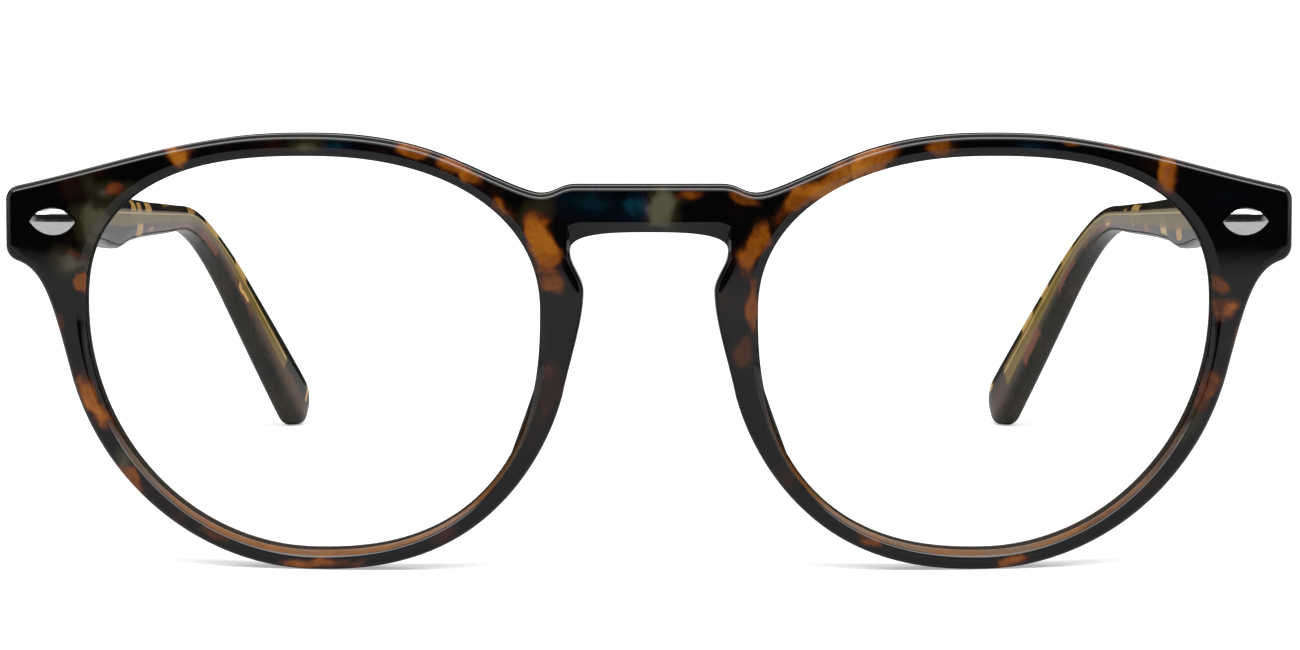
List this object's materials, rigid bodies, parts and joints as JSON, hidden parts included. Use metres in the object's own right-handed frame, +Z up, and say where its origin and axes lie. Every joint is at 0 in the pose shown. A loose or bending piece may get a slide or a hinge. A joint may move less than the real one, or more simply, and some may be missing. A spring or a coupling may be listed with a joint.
{
  "type": "round plastic glasses",
  "caption": "Full-rim round glasses with a keyhole bridge, clear lenses, riveted plaques and folding temples on screwed barrel hinges.",
  "frame": {"origin": "on the table, below the middle of the box round the open glasses", "axes": "+X to the wearer's left, which is the right of someone facing the front; +Y from the front to the temple tips; +Z up"},
  "size_m": [0.14, 0.141, 0.0473],
  "materials": {
    "front_plastic": "polished dark tortoiseshell plastic",
    "temple_plastic": "polished light tortoiseshell plastic, a little see-through",
    "lens_plastic": "clear, uncoated",
    "plaque_metal": "mirror polished",
    "hinge_metal": "satin",
    "screw_metal": "bright",
    "wire_metal": "drawn wire"
  },
  "bodies": {
    "front": {"front_frame": "front_plastic", "left_lens": "lens_plastic", "right_lens": "lens_plastic", "left_nose_pad": "front_plastic", "right_nose_pad": "front_plastic", "left_plaque": "plaque_metal", "right_plaque": "plaque_metal", "left_front_hinge": "hinge_metal", "right_front_hinge": "hinge_metal", "left_hinge_screw": "screw_metal", "right_hinge_screw": "screw_metal"},
    "left_arm": {"left_temple": "temple_plastic", "left_temple_hinge": "hinge_metal", "left_core_wire": "wire_metal"},
    "right_arm": {"right_temple": "temple_plastic", "right_temple_hinge": "hinge_metal", "right_core_wire": "wire_metal"}
  },
  "joints": [
    {"name": "left_temple_fold", "type": "hinge", "parent": "front", "child": "left_arm", "pos_m": [-0.06275, -0.05886, 0.03765], "axis": [0, 0, -1], "range_deg": [0, 76]},
    {"name": "right_temple_fold", "type": "hinge", "parent": "front", "child": "right_arm", "pos_m": [0.06275, -0.05886, 0.03765], "axis": [0, 0, 1], "range_deg": [0, 86]}
  ]
}
